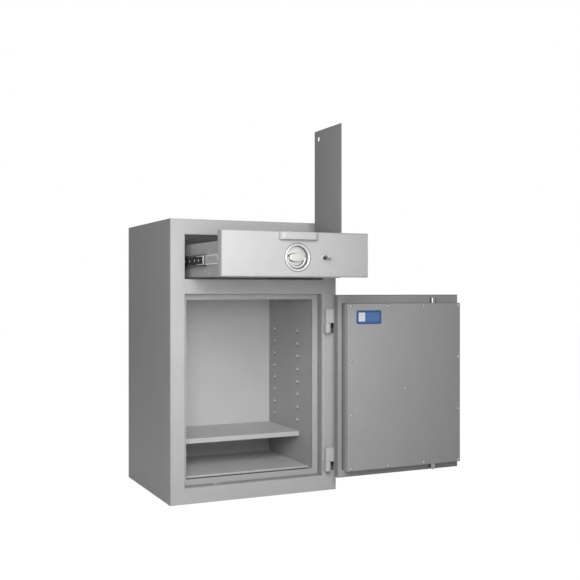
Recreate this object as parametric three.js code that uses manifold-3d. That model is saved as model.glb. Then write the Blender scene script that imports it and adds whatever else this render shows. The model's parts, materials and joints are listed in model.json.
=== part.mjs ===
// Drop safe with a deposit drawer above the vault door. Millimetres, +Z up.
// x runs to the right, y into the cabinet; the origin is the middle of the underside.
// It is drawn with the drawer part way out, its lid up and the vault door swung right back.
import * as THREE from 'three';
import { mergeVertices } from 'three/addons/utils/BufferGeometryUtils.js';
import Module from 'manifold-3d';

const wasm = await Module();
wasm.setup();

// General clearances
const fitGap = 0.3;
const overrun = 5;
const weldTolerance = 0.0001;
const fineSides = 40;
const midSides = 24;
const smallSides = 16;

// Cabinet
const cabinetWidth = 650;
const cabinetDepth = 550;
const cabinetHeight = 1000;
const skinThickness = 3;
const linerThickness = 3;
const wallThickness = 60;
const frameDepth = 50;
const sideBorder = 55;
const bottomRail = 56;
const webRail = 54;
const topRail = 55;
const drawerOpeningHeight = 155;
const bendRadius = 2.5;
const openingRound = 6;
const bayHeadroom = 3;

// Door stop behind the front frame
const stopWidth = 20;
const stopThickness = 3;
const stopTail = 20;

// Deck between the vault and the drawer bay
const deckThickness = 6;
const deckDrop = 6;
const dropMargin = 10;

// Shelf, the domes pressed in the side walls that carry it, and the raised floor
const shelfDepth = 300;
const shelfSheet = 2;
const shelfLip = 18;
const shelfEndGap = 3;
const shelfSeatGap = 0.5;
const domeRadius = 6;
const domeHeight = 4;
const domeRows = 9;
const domePitch = 50;
const firstDomeHeight = 188.5;
const rearDomeInset = 58;
const domeColumnSpacing = 220;
const floorPlateSetback = 114;
const floorPlateHeight = 14;
const floorPlateSheet = 2;
const anchorRadius = 6;
const anchorFromWall = 39;
const anchorFromPlateEdge = 20;

// Vault door, built as it lies when closed
const doorSideGap = 4;
const doorEndGap = 3;
const doorThickness = 28;
const doorSheet = 3;
const doorRound = 3;
const doorOpenAngle = 180;
const boltBoxSideInset = 21.5;
const boltBoxLowInset = 31.5;
const boltBoxTopInset = 34.5;
const boltBoxDepth = 43.5;
const boltBoxWall = 3;
const coverSheet = 2;
const coverLip = 23;
const coverFit = 0.5;
const coverRound = 2;

// Door bolts and the gear that throws them
const boltRadius = 10;
const boltNose = 2;
const boltPlateGap = 0.5;
const boltHoleGap = 0.8;
const boltHoleDepth = 26;
const sideBoltTipGap = 3;
const sideBoltFromEnd = [187, 185];
const sideBarThickness = 10;
const sideBarDepth = 18;
const sideBarTail = 14;
const sideBoltLength = 68;
const handleFromFreeEdge = 122.5;
const topBoltReach = 21;
const bottomBoltReach = 27;
const boltStart = 52;
const doorCamRadius = 45;
const camThickness = 4;
const doorCamGap = 1.5;

// Hinges that the door lifts off
const hingeFromOpening = 9;
const hingeStandoff = 23;
const knuckleRadius = 10.75;
const hingePinRadius = 6;
const cabinetKnuckleLength = 36;
const doorKnuckleLength = 52;
const hingeWasherGap = 0.4;
const pinEndGap = 8;
const cabinetFootWidth = 16;
const doorFootInner = 13.5;
const doorFootOuter = 26;
const hingeFromEnd = [53.6, 105.5];

// Blank plate on the inside of the door
const plateWidth = 105.5;
const plateHeight = 51;
const plateThickness = 0.8;
const plateFromEdge = 35.5;
const plateFromTop = 25;
const plateCorner = 7;

// Drawer
const drawerOut = 348;
const drawerFrontThickness = 35;
const drawerFrontRound = 6;
const drawerSideGap = 4;
const drawerGapBelow = 3.5;
const drawerGapAbove = 2.5;
const slideSpace = 15;
const trayBase = 6;
const trayHeight = 114;
const traySheet = 3;
const trayShortfall = 20;

// Deposit box in the front of the drawer, with its lid and its drop flap
const boxSheet = 3;
const boxSetback = 15;
const lidWidth = 200;
const lidThickness = 3;
const lidSetback = 2;
const lidFromTraySide = 68.5;
const boxFromTraySide = 31;
const lidKnuckleRadius = 3.5;
const lidPinRadius = 1.5;
const lidRise = 3;
const lidRest = 0.5;
const lidKnuckleCount = 5;
const lidHoleRadius = 9;
const lidHoleInset = 30;
const lidCorner = 3;
const reliefGap = 0.3;
const boxWallLap = 4.5;
const flapGap = 1.5;
const flapMargin = 2;
const flapBarrelRadius = 2.2;
const flapPinRadius = 1.2;
const flapPinTail = 6;
const flapPinDrop = 1.8;
const flapLugWidth = 6;
const flapLugDrop = 4.2;
const flapLugLength = 8;

// Telescopic slides: three nested channels on each side of the drawer
const slideHeight = 45;
const slideBottomFromOpening = 38;
const slideStep = 3.5;
const slideWeb = 1.5;
const slideFlange = 3;
const slideDepth = 10;
const railWidth = 11;
const slideSetback = 40;
const railEndGap = 10;
const middleLag = 7;
const middleShortfall = 20;
const middleInset = 3;
const drawerMemberWidth = 9;

// Round recessed handle with a folding bail, used on the drawer and on the door
const bowlFlangeRadius = 46;
const bowlFlange = 3;
const bowlChamfer = 1.5;
const bowlRadius = 41.7;
const bowlBore = 38.5;
const bowlDepth = 24;
const bowlFloor = 4;
const rotorRadius = 38;
const rotorThickness = 4;
const spindleRadius = 6;
const gripHalfWidth = 27;
const gripHalfHeight = 13.5;
const gripProud = 11;
const gripCrown = 2;
const bailInner = 28;
const bailOuter = 35;
const bailThickness = 6;
const bailDepth = 6;
const bailPinRadius = 1.6;
const bailEdge = 1.5;
const drawerHandleHeight = 64;
const drawerCamRadius = 41;
const drawerCamGap = 1.3;

// Key lock, used on the drawer and on the door
const lockSpacing = 97;
const keyholeRadius = 4;
const lockCaseWidth = 60;
const lockCaseHeight = 44;
const doorLockDepth = 15;
const drawerLockDepth = 13;
const lockWall = 2;
const lockCavityRadius = 9;
const roseRadius = 9;
const roseThickness = 1.2;
const keyShaftRadius = 2.8;
const keyCollarRadius = 6;
const keyCollarLength = 10;
const keyStem = 15;
const bitReach = 8.2;
const bitThickness = 2.4;
const bitLength = 6;
const bowLength = 26;
const bowWidth = 26;
const bowTilt = 38;
const bowThickness = 2.6;
const bowHoleRadius = 5;

// Drawer bolts
const drawerBoltRadius = 4;
const drawerBoltDepth = 45;
const drawerBoltHoleGap = 0.6;
const drawerBoltRise = 35.5;
const drawerBoltInner = 24;
const drawerBoltHoleDepth = 14;

// Pull on the drawer front
const pullWidth = 137;
const pullHeight = 24.5;
const pullDepth = 22;
const pullWall = 3;
const pullCorner = 17;
const pullFromTop = 2.5;
const pullEdge = 2;

// Places worked out from the sizes above
const halfWidth = cabinetWidth / 2;
const front = -cabinetDepth / 2;
const back = cabinetDepth / 2;
const skinHalf = halfWidth - skinThickness;
const wallInner = halfWidth - wallThickness;
const wallOuter = wallInner + linerThickness;
const openingHalf = halfWidth - sideBorder;
const frameRear = front + frameDepth;
const stopRear = frameRear + stopThickness;
const backInner = back - wallThickness;
const backOuter = backInner + linerThickness;
const doorOpeningTop = cabinetHeight - topRail - drawerOpeningHeight - webRail;
const bayLow = doorOpeningTop + webRail;
const bayTop = cabinetHeight - topRail;
const ceiling = bayTop + bayHeadroom;
const floorTop = wallThickness;
const deckTop = bayLow - deckDrop;
const deckUnder = deckTop - deckThickness;
const vaultFloorEdge = front + floorPlateSetback;
const anchorX = wallInner - anchorFromWall;
const anchorY = vaultFloorEdge + anchorFromPlateEdge;

const doorHalf = openingHalf - doorSideGap;
const doorLow = bottomRail + doorEndGap;
const doorTop = doorOpeningTop - doorEndGap;
const doorInner = front + doorThickness;
const boltBoxHalfWidth = doorHalf - boltBoxSideInset;
const boltBoxLow = doorLow + boltBoxLowInset;
const boltBoxTop = doorTop - boltBoxTopInset;
const sideBoltHeights = [doorLow + sideBoltFromEnd[0], doorTop - sideBoltFromEnd[1]];
const hingeJoints = [doorLow + hingeFromEnd[0], doorTop - hingeFromEnd[1]];
const doorHandleHeight = (doorLow + doorTop) / 2;
const endBoltOffset = handleFromFreeEdge - doorHalf;
const coverFace = doorInner + boltBoxDepth + coverFit + coverSheet;
const coverHalf = boltBoxHalfWidth + coverFit + coverSheet;
const coverLow = boltBoxLow - coverFit - coverSheet;
const coverTop = boltBoxTop + coverFit + coverSheet;
const boltLine = doorInner + boltPlateGap + boltRadius;
const hingeX = openingHalf + hingeFromOpening;
const hingeY = front - hingeStandoff;

const railStart = front + slideSetback;
const railLength = backInner - railEndGap - railStart;
const middleLength = railLength - middleShortfall;
const middleOut = drawerOut / 2 - middleLag;
const trayLength = railLength - trayShortfall;
const drawerFront = front - drawerOut;
const drawerBehind = drawerFront + drawerFrontThickness;
const drawerHalf = openingHalf - drawerSideGap;
const drawerLow = bayLow + drawerGapBelow;
const drawerTop = bayTop - drawerGapAbove;
const trayHalf = wallInner - slideSpace;
const trayInner = trayHalf - traySheet;
const trayLow = bayLow + trayBase;
const trayTop = trayLow + trayHeight;
const trayFloorTop = trayLow + traySheet;
const trayRear = drawerBehind + trayLength;
const drawerHandleZ = drawerLow + drawerHandleHeight;
const lidFront = drawerBehind + lidSetback;
const lidRear = lidFront + lidWidth;
const lidPivotZ = trayTop + lidRise;
const lidUnder = lidPivotZ - lidThickness / 2;
const boxTop = lidUnder - lidRest;
const lidHingeOffset = trayHalf - lidFromTraySide;
const boxLeft = boxFromTraySide - trayHalf;
const lidLength = lidHingeOffset - boxLeft + boxWallLap;
const boxFront = drawerBehind + boxSetback;
const boxRight = lidHingeOffset - boxSheet / 2;
const flapPivotY = boxFront + boxSheet + flapMargin + flapBarrelRadius;
const flapPivotZ = trayLow - flapPinDrop;
const drawerBoltY = drawerFront + drawerBoltDepth;
const drawerBoltTopZ = drawerHandleZ + drawerBoltRise;
const drawerBoltLowZ = drawerHandleZ - drawerBoltRise;

const sideSign = { left: -1, right: 1 };
const hingeSide = ['lower', 'upper'];

// Finishes
const greyPaint = { color: 0xbfc1c2, roughness: 0.55, metalness: 0.1 };
const innerPaint = { color: 0xb6b8b9, roughness: 0.6, metalness: 0.1 };
const zincPlate = { color: 0x9a9c9e, roughness: 0.35, metalness: 0.9 };
const brightSteel = { color: 0xc8c9ca, roughness: 0.28, metalness: 1 };
const satinMetal = { color: 0xd9d7d2, roughness: 0.3, metalness: 0.9 };
const infillGrey = { color: 0x8e8b86, roughness: 0.95, metalness: 0 };
const bluePlate = { color: 0x1f4f9a, roughness: 0.4, metalness: 0 };

// Solids

function signedVolume(position, index) {
  const corner = [new THREE.Vector3(), new THREE.Vector3(), new THREE.Vector3()];
  let total = 0;
  for (let start = 0; start < index.length; start += 3) {
    corner.forEach((point, k) => point.fromBufferAttribute(position, index[start + k]));
    total += corner[0].dot(corner[1].cross(corner[2]));
  }
  return total / 6;
}

function closedFaces(index) {
  const faces = [];
  for (let start = 0; start < index.length; start += 3) {
    const [a, b, c] = [index[start], index[start + 1], index[start + 2]];
    if (a !== b && b !== c && c !== a) faces.push(a, b, c);
  }
  return faces;
}

function toSolid(geometry) {
  const bare = geometry.clone();
  bare.deleteAttribute('normal');
  bare.deleteAttribute('uv');
  const merged = mergeVertices(bare, weldTolerance);
  const faces = closedFaces(merged.index.array);
  if (signedVolume(merged.attributes.position, faces) < 0) faces.reverse();
  return new wasm.Manifold(new wasm.Mesh({
    numProp: 3,
    vertProperties: merged.attributes.position.array,
    triVerts: new Uint32Array(faces),
  }));
}

function joined(...solids) {
  return solids.flat().reduce((whole, next) => whole.add(next));
}

function cutFrom(whole, ...cutters) {
  return cutters.flat().reduce((left, cutter) => left.subtract(cutter), whole);
}

function block([x0, x1], [y0, y1], [z0, z1]) {
  const geometry = new THREE.BoxGeometry(x1 - x0, y1 - y0, z1 - z0);
  geometry.translate((x0 + x1) / 2, (y0 + y1) / 2, (z0 + z1) / 2);
  return toSolid(geometry);
}

// Turns a geometry that points along +Z so that it points along the named axis.
function pointAlong(axis, geometry) {
  const turn = new THREE.Matrix4();
  const [x, y, z] = [[1, 0, 0], [0, 1, 0], [0, 0, 1]].map((v) => new THREE.Vector3(...v));
  if (axis === 'x') turn.makeBasis(y, z, x);
  if (axis === 'y') turn.makeBasis(x, z, y.clone().negate());
  return geometry.applyMatrix4(turn);
}

function alongFrom(axis, from, to) {
  if (axis === 'x') return [from, 0, 0];
  if (axis === 'y') return [0, to, 0];
  return [0, 0, from];
}

// A round bar between two places on its axis; a and b are its other two coordinates.
function bar(axis, radius, from, to, a, b, sides = midSides) {
  const geometry = new THREE.CylinderGeometry(radius, radius, to - from, sides);
  geometry.rotateX(Math.PI / 2);
  geometry.translate(0, 0, (to - from) / 2);
  pointAlong(axis, geometry);
  geometry.translate(...alongFrom(axis, from, to));
  if (axis === 'x') geometry.translate(0, a, b);
  if (axis === 'y') geometry.translate(a, 0, b);
  if (axis === 'z') geometry.translate(a, b, 0);
  return toSolid(geometry);
}

// An outline pushed along an axis; an edge above zero rounds both ends.
function prism(axis, shape, from, to, edge = 0, bevelSegments = 4) {
  const settings = { depth: to - from - 2 * edge, curveSegments: 8, bevelEnabled: edge > 0 };
  Object.assign(settings, { bevelThickness: edge, bevelSize: edge, bevelOffset: -edge, bevelSegments });
  const geometry = new THREE.ExtrudeGeometry(shape, settings);
  geometry.translate(0, 0, edge);
  pointAlong(axis, geometry);
  geometry.translate(...alongFrom(axis, from, to));
  return toSolid(geometry);
}

// A cutter whose two ends flare, which leaves the edge of the hole rounded.
function flaredCutter(shape, from, to, flare) {
  const settings = { depth: to - from - 2 * flare, bevelEnabled: true, curveSegments: 4 };
  Object.assign(settings, { bevelThickness: flare, bevelSize: -flare, bevelOffset: flare });
  settings.bevelSegments = 5;
  const geometry = new THREE.ExtrudeGeometry(shape, settings);
  geometry.translate(0, 0, flare);
  pointAlong('y', geometry);
  geometry.translate(...alongFrom('y', from, to));
  return toSolid(geometry);
}

// A profile of [radius, distance] pairs spun round an axis that runs along y.
function spun(profile, x, y, z, sides = fineSides) {
  const ring = [...profile, profile[0]].map(([radius, along]) => new THREE.Vector2(radius, along));
  const geometry = new THREE.LatheGeometry(ring, sides);
  geometry.translate(x, y, z);
  return toSolid(geometry);
}

function rectangle(a0, a1, b0, b1) {
  return roundedRectangle([a0, a1], [b0, b1], {});
}

// A rectangle in its own plane, with a radius at any of its four corners.
function roundedRectangle([a0, a1], [b0, b1], { lowLeft = 0, lowRight = 0, topRight = 0, topLeft = 0 }) {
  const shape = new THREE.Shape();
  shape.moveTo(a0 + lowLeft, b0);
  shape.lineTo(a1 - lowRight, b0);
  if (lowRight > 0) shape.absarc(a1 - lowRight, b0 + lowRight, lowRight, -Math.PI / 2, 0, false);
  shape.lineTo(a1, b1 - topRight);
  if (topRight > 0) shape.absarc(a1 - topRight, b1 - topRight, topRight, 0, Math.PI / 2, false);
  shape.lineTo(a0 + topLeft, b1);
  if (topLeft > 0) shape.absarc(a0 + topLeft, b1 - topLeft, topLeft, Math.PI / 2, Math.PI, false);
  shape.lineTo(a0, b0 + lowLeft);
  if (lowLeft > 0) shape.absarc(a0 + lowLeft, b0 + lowLeft, lowLeft, Math.PI, 1.5 * Math.PI, false);
  return shape;
}

function evenCorners(radius) {
  return { lowLeft: radius, lowRight: radius, topRight: radius, topLeft: radius };
}

function node(name, solid, finish) {
  const { vertProperties, triVerts } = solid.getMesh();
  const geometry = new THREE.BufferGeometry();
  geometry.setAttribute('position', new THREE.BufferAttribute(vertProperties, 3));
  geometry.setIndex(new THREE.BufferAttribute(triVerts, 1));
  geometry.computeVertexNormals();
  const mesh = new THREE.Mesh(geometry, new THREE.MeshStandardMaterial({ ...finish, flatShading: true }));
  mesh.name = name;
  return mesh;
}

// A pair of coordinates on one side of the middle plane, lowest first.
function across(sign, inner, outer) {
  return sign > 0 ? [inner, outer] : [-outer, -inner];
}

function sameOnBothSides(make) {
  return Object.entries(sideSign).map(([side, sign]) => make(side, sign));
}

// Cabinet body

function anchorHole(from, to) {
  return bar('z', anchorRadius, from - overrun, to + overrun, anchorX, anchorY, midSides);
}

function sidePanels() {
  return sameOnBothSides((side, sign) => {
    const corner = sign > 0 ? { lowRight: bendRadius } : { lowLeft: bendRadius };
    const outline = roundedRectangle(across(sign, skinHalf, halfWidth), [front, back], corner);
    return node(`${side}_side_panel`, prism('z', outline, 0, cabinetHeight), greyPaint);
  });
}

function outerPanels() {
  const top = block([-skinHalf, skinHalf], [frameRear, back - skinThickness],
    [cabinetHeight - skinThickness, cabinetHeight]);
  const base = block([-skinHalf, skinHalf], [frameRear, back - skinThickness], [0, skinThickness]);
  const rear = block([-skinHalf, skinHalf], [back - skinThickness, back], [0, cabinetHeight]);
  return [
    ...sidePanels(),
    node('top_panel', top, greyPaint),
    node('base_panel', cutFrom(base, anchorHole(0, skinThickness)), greyPaint),
    node('back_panel', rear, greyPaint),
  ];
}

function openingCutter(low, top) {
  const outline = rectangle(-openingHalf, openingHalf, low, top);
  return flaredCutter(outline, front, frameRear + overrun + openingRound, openingRound);
}

// Sockets in the door frame that the thrown bolts enter.
function boltSockets() {
  const radius = boltRadius + boltHoleGap;
  const sides = sideBoltHeights.map((height) =>
    bar('x', radius, -openingHalf - boltHoleDepth, -openingHalf + overrun, boltLine, height));
  const top = bar('z', radius, doorOpeningTop - overrun, doorOpeningTop + boltHoleDepth,
    endBoltOffset, boltLine);
  const bottom = bar('z', radius, bottomRail - boltHoleDepth, bottomRail + overrun,
    endBoltOffset, boltLine);
  return [...sides, top, bottom];
}

function drawerBoltSockets() {
  const radius = drawerBoltRadius + drawerBoltHoleGap;
  const line = front + drawerBoltDepth;
  const reach = openingHalf + drawerBoltHoleDepth;
  return [
    bar('x', radius, openingHalf - overrun, reach, line, drawerBoltTopZ, smallSides),
    bar('x', radius, -reach, -openingHalf + overrun, line, drawerBoltLowZ, smallSides),
  ];
}

function frontFrame() {
  const outline = roundedRectangle([front, frameRear], [0, cabinetHeight], { topLeft: bendRadius });
  const plate = prism('x', outline, -skinHalf, skinHalf);
  const openings = [openingCutter(bottomRail, doorOpeningTop), openingCutter(bayLow, bayTop)];
  return node('front_frame', cutFrom(plate, openings, boltSockets(), drawerBoltSockets()), greyPaint);
}

function doorStop() {
  const reach = openingHalf + stopTail;
  const low = bottomRail - stopTail;
  const top = doorOpeningTop + stopTail;
  const outer = block([-reach, reach], [frameRear, stopRear], [low, top]);
  const hole = block([-openingHalf + stopWidth, openingHalf - stopWidth],
    [frameRear - overrun, stopRear + overrun], [bottomRail + stopWidth, doorOpeningTop - stopWidth]);
  return node('door_stop_flange', cutFrom(outer, hole), greyPaint);
}

// The poured filling of the walls, one piece that is open towards the front.
function wallInfill() {
  const whole = block([-skinHalf, skinHalf], [stopRear, back - skinThickness],
    [skinThickness, cabinetHeight - skinThickness]);
  const hollow = block([-wallOuter, wallOuter], [stopRear - overrun, backOuter],
    [floorTop - linerThickness, ceiling + linerThickness]);
  return node('wall_infill', cutFrom(whole, hollow, anchorHole(0, floorTop)), infillGrey);
}

function dome(sign, y, z) {
  const geometry = new THREE.SphereGeometry(domeRadius, 10, 4);
  geometry.rotateZ(Math.PI / 2);
  geometry.scale(domeHeight / domeRadius, 1, 1);
  geometry.translate(sign * wallInner, y, z);
  return toSolid(geometry);
}

function domes(sign) {
  const list = [];
  for (let row = 0; row < domeRows; row += 1) {
    for (let column = 0; column < 2; column += 1) {
      const y = backInner - rearDomeInset - column * domeColumnSpacing;
      list.push(dome(sign, y, firstDomeHeight + row * domePitch));
    }
  }
  return list;
}

function liners() {
  const low = floorTop - linerThickness;
  const high = ceiling + linerThickness;
  const walls = sameOnBothSides((side, sign) => {
    const sheet = block(across(sign, wallInner, wallOuter), [stopRear, backOuter], [low, high]);
    const behind = block(across(sign, wallOuter, skinHalf), [stopRear, backOuter], [low, high]);
    return node(`${side}_liner`, cutFrom(joined(sheet, domes(sign)), behind), innerPaint);
  });
  const rear = block([-wallInner, wallInner], [backInner, backOuter], [low, high]);
  const roof = block([-wallInner, wallInner], [stopRear, backInner], [ceiling, high]);
  const floor = block([-wallInner, wallInner], [stopRear, backInner], [low, floorTop]);
  return [
    ...walls,
    node('back_liner', rear, innerPaint),
    node('bay_ceiling', roof, innerPaint),
    node('floor_liner', cutFrom(floor, anchorHole(low, floorTop)), innerPaint),
  ];
}

// The deck has the opening that deposits fall through when the drawer is shut.
function deck() {
  const sheet = block([-wallInner, wallInner], [stopRear, backInner], [deckUnder, deckTop]);
  const depositFront = boxFront + drawerOut;
  const depositRear = lidRear + drawerOut;
  const hole = block([boxLeft - dropMargin, boxRight + dropMargin],
    [Math.max(depositFront - dropMargin, stopRear + dropMargin), depositRear + dropMargin],
    [deckUnder - overrun, deckTop + overrun]);
  return node('deck', cutFrom(sheet, hole), innerPaint);
}

// A sheet pan turned upside down: a flat top with its rims folded down.
function pan([x0, x1], [y0, y1], [z0, z1], sheet) {
  const whole = block([x0, x1], [y0, y1], [z0, z1]);
  const hollow = block([x0 + sheet, x1 - sheet], [y0 + sheet, y1 - sheet], [z0 - overrun, z1 - sheet]);
  return cutFrom(whole, hollow);
}

function raisedFloor() {
  const reach = wallInner - fitGap;
  const sheet = pan([-reach, reach], [vaultFloorEdge, backInner - fitGap],
    [floorTop, floorTop + floorPlateHeight], floorPlateSheet);
  const drilled = cutFrom(sheet, anchorHole(floorTop, floorTop + floorPlateHeight));
  return node('floor_plate', drilled, innerPaint);
}

function shelf() {
  const reach = wallInner - domeHeight - fitGap;
  const under = firstDomeHeight + domeRadius + shelfSeatGap;
  const rear = backInner - shelfEndGap;
  const top = under + shelfSheet;
  const body = pan([-reach, reach], [rear - shelfDepth, rear], [top - shelfLip, top], shelfSheet);
  const wide = wallInner - fitGap;
  const flange = block([-wide, wide], [rear - shelfDepth, rear], [under, top]);
  return node('shelf', joined(body, flange), innerPaint);
}

// Hinges

function cabinetHinge(name, joint) {
  const low = joint - cabinetKnuckleLength;
  const barrel = bar('z', knuckleRadius, low, joint, hingeX, hingeY);
  const foot = block([hingeX - cabinetFootWidth / 2, hingeX + cabinetFootWidth / 2],
    [hingeY, front], [low, joint]);
  const pinTop = joint + doorKnuckleLength - pinEndGap;
  const pin = bar('z', hingePinRadius, joint - overrun, pinTop, hingeX, hingeY);
  return node(name, joined(barrel, foot, pin), greyPaint);
}

function doorHinge(name, joint) {
  const low = joint + hingeWasherGap;
  const top = joint + doorKnuckleLength;
  const barrel = bar('z', knuckleRadius, low, top, hingeX, hingeY);
  const arm = block([hingeX - doorFootOuter, hingeX], [hingeY, hingeY + knuckleRadius], [low, top]);
  const foot = block([hingeX - doorFootOuter, hingeX - doorFootInner], [hingeY, front],
    [low, top]);
  const bore = bar('z', hingePinRadius + fitGap, low - overrun, top - pinEndGap / 2, hingeX, hingeY);
  return node(name, cutFrom(joined(barrel, arm, foot), bore), greyPaint);
}

// Round recessed handle, drawn on a face that looks towards -y

function handleBowl(name, x, face, z) {
  const floor = bowlDepth - bowlFloor;
  const profile = [
    [spindleRadius + fitGap, floor], [bowlBore, floor], [bowlBore, bowlChamfer - bowlFlange],
    [bowlBore + bowlChamfer, -bowlFlange], [bowlFlangeRadius - bowlChamfer, -bowlFlange],
    [bowlFlangeRadius, bowlChamfer - bowlFlange], [bowlFlangeRadius, 0], [bowlRadius, 0],
    [bowlRadius, bowlDepth], [spindleRadius + fitGap, bowlDepth],
  ];
  return node(name, spun(profile, x, face, z), satinMetal);
}

function lens(halfWidthAcross, halfHeight) {
  const radius = (halfWidthAcross ** 2 + halfHeight ** 2) / (2 * halfHeight);
  const half = Math.asin(halfWidthAcross / radius);
  const shape = new THREE.Shape();
  shape.absarc(0, halfHeight - radius, radius, Math.PI / 2 - half, Math.PI / 2 + half, false);
  shape.absarc(0, radius - halfHeight, radius, 1.5 * Math.PI - half, 1.5 * Math.PI + half, false);
  return shape;
}

function bailPinDepth() {
  return bailDepth + bailThickness / 2;
}

function handleRotor(name, x, face, z, spindleEnd) {
  const discRear = bowlDepth - bowlFloor - fitGap;
  const discFront = discRear - rotorThickness;
  const disc = bar('y', rotorRadius, face + discFront, face + discRear, x, z, fineSides);
  const grip = prism('y', lens(gripHalfWidth, gripHalfHeight),
    discFront - gripProud, discFront + gripCrown, gripCrown, 3);
  const spindle = bar('y', spindleRadius, face + discFront, spindleEnd, x, z, midSides);
  const pins = bar('x', bailPinRadius, x - bailOuter + fitGap, x + bailOuter - fitGap,
    face + bailPinDepth(), z, smallSides);
  return node(name, joined(disc, grip.translate(x, face, z), spindle, pins), satinMetal);
}

// A half ring that lies flush below the grip and folds out about its pins.
function handleBail(name, x, face, z) {
  const shape = new THREE.Shape();
  shape.absarc(0, 0, bailOuter, Math.PI, 2 * Math.PI, false);
  shape.absarc(0, 0, bailInner, 2 * Math.PI, Math.PI, true);
  const depth = bailPinDepth();
  const eyes = [-1, 1].map((sign) => {
    const [from, to] = across(sign, bailInner, bailOuter);
    return bar('x', bailThickness / 2, from, to, depth, 0, smallSides);
  });
  const bore = bar('x', bailPinRadius + fitGap, -bailOuter - overrun, bailOuter + overrun,
    depth, 0, smallSides);
  const arc = prism('y', shape, bailDepth, bailDepth + bailThickness, bailEdge, 2);
  const ring = cutFrom(joined(arc, eyes), bore);
  return node(name, ring.translate(x, face, z), satinMetal);
}

function camDisc(name, radius, x, from, z) {
  const disc = bar('y', radius, from, from + camThickness, x, z, fineSides);
  const bore = bar('y', spindleRadius + fitGap, from - overrun, from + camThickness + overrun,
    x, z, midSides);
  return node(name, cutFrom(disc, bore), zincPlate);
}

// Key lock behind a front that looks towards -y, with its rose on that front

function lockCase(name, x, face, plateRear, z, depth) {
  const whole = block([x - lockCaseWidth / 2, x + lockCaseWidth / 2], [plateRear, plateRear + depth],
    [z - lockCaseHeight / 2, z + lockCaseHeight / 2]);
  const neck = bar('y', keyholeRadius + lockWall, face, plateRear + lockWall, x, z, midSides);
  const rose = bar('y', roseRadius, face - roseThickness, face, x, z, midSides);
  const cavity = bar('y', lockCavityRadius, plateRear + lockWall, plateRear + depth - lockWall,
    x, z, midSides);
  const hole = bar('y', keyholeRadius, face - overrun, plateRear + lockWall + overrun,
    x, z, midSides);
  return node(name, cutFrom(joined(whole, neck, rose), cavity, hole), zincPlate);
}

function keyBow() {
  const shape = new THREE.Shape();
  shape.absellipse(0, 0, bowWidth / 2, bowLength / 2, 0, 2 * Math.PI, false, 0);
  const hole = new THREE.Path();
  hole.absellipse(0, bowLength / 8, bowHoleRadius, bowHoleRadius, 0, 2 * Math.PI, true, 0);
  shape.holes.push(hole);
  return shape;
}

function key(x, z) {
  const cavityFront = drawerBehind + lockWall + fitGap;
  const tip = cavityFront + bitLength + lockWall;
  const stemEnd = drawerFront - roseThickness - keyStem;
  const shaft = bar('y', keyShaftRadius, stemEnd - overrun, tip, x, z, smallSides);
  const collarEnd = drawerFront - roseThickness - fitGap;
  const collar = bar('y', keyCollarRadius, collarEnd - keyCollarLength, collarEnd, x, z, smallSides);
  const bit = block([x - bitThickness / 2, x + bitThickness / 2], [cavityFront, cavityFront + bitLength],
    [z - bitReach, z + bitReach]);
  const bow = prism('z', keyBow(), -bowThickness / 2, bowThickness / 2)
    .rotate([0, bowTilt, 0]).translate(x, stemEnd - bowLength / 2, z);
  return node('key', joined(shaft, collar, bit, bow), brightSteel);
}

// Vault door, in the place it takes when shut

function doorBlank() {
  const outline = rectangle(-doorHalf, doorHalf, doorLow, doorTop);
  const rounded = prism('y', outline, front, doorInner, doorRound);
  const squareRear = prism('y', outline, front + doorThickness / 2, doorInner);
  return joined(rounded, squareRear);
}

function acrossDoor(from, to, margin) {
  return block([-doorHalf - margin, doorHalf + margin], [from, to], [doorLow - margin, doorTop + margin]);
}

function doorFace() {
  const behind = acrossDoor(front + doorSheet, doorInner + overrun, overrun);
  const handleHole = bar('y', bowlRadius + fitGap, front - overrun, doorInner,
    endBoltOffset, doorHandleHeight, fineSides);
  const keyHole = bar('y', keyholeRadius + lockWall + fitGap, front - overrun, doorInner,
    endBoltOffset + lockSpacing, doorHandleHeight, midSides);
  return node('door_face', cutFrom(doorBlank(), behind, handleHole, keyHole), greyPaint);
}

// The door's four folded edges, behind its face.
function doorShell() {
  const ahead = acrossDoor(front - overrun, front + doorSheet, overrun);
  const hollow = acrossDoor(front, doorInner + overrun, -doorSheet);
  return node('door_shell', cutFrom(doorBlank(), ahead, hollow), greyPaint);
}

function doorLayer(name, from, to, bowlHole, finish) {
  const reach = doorHalf - doorSheet;
  const sheet = block([-reach, reach], [from, to], [doorLow + doorSheet, doorTop - doorSheet]);
  const handleHole = bar('y', bowlHole, from - overrun, to + overrun,
    endBoltOffset, doorHandleHeight, fineSides);
  const keyHole = bar('y', keyholeRadius + lockWall + fitGap, from - overrun, to + overrun,
    endBoltOffset + lockSpacing, doorHandleHeight, midSides);
  return node(name, cutFrom(sheet, handleHole, keyHole), finish);
}

function boltBox() {
  const xs = [-boltBoxHalfWidth, boltBoxHalfWidth];
  const zs = [boltBoxLow, boltBoxTop];
  const whole = block(xs, [doorInner, doorInner + boltBoxDepth], zs);
  const hollow = block([xs[0] + boltBoxWall, xs[1] - boltBoxWall], [doorInner - overrun, coverFace],
    [zs[0] + boltBoxWall, zs[1] - boltBoxWall]);
  const radius = boltRadius + fitGap;
  const sides = sideBoltHeights.map((height) =>
    bar('x', radius, xs[0] - overrun, xs[0] + overrun, boltLine, height));
  const ends = zs.map((height) =>
    bar('z', radius, height - overrun, height + overrun, endBoltOffset, boltLine));
  return node('bolt_box', cutFrom(whole, hollow, sides, ends), greyPaint);
}

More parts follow.
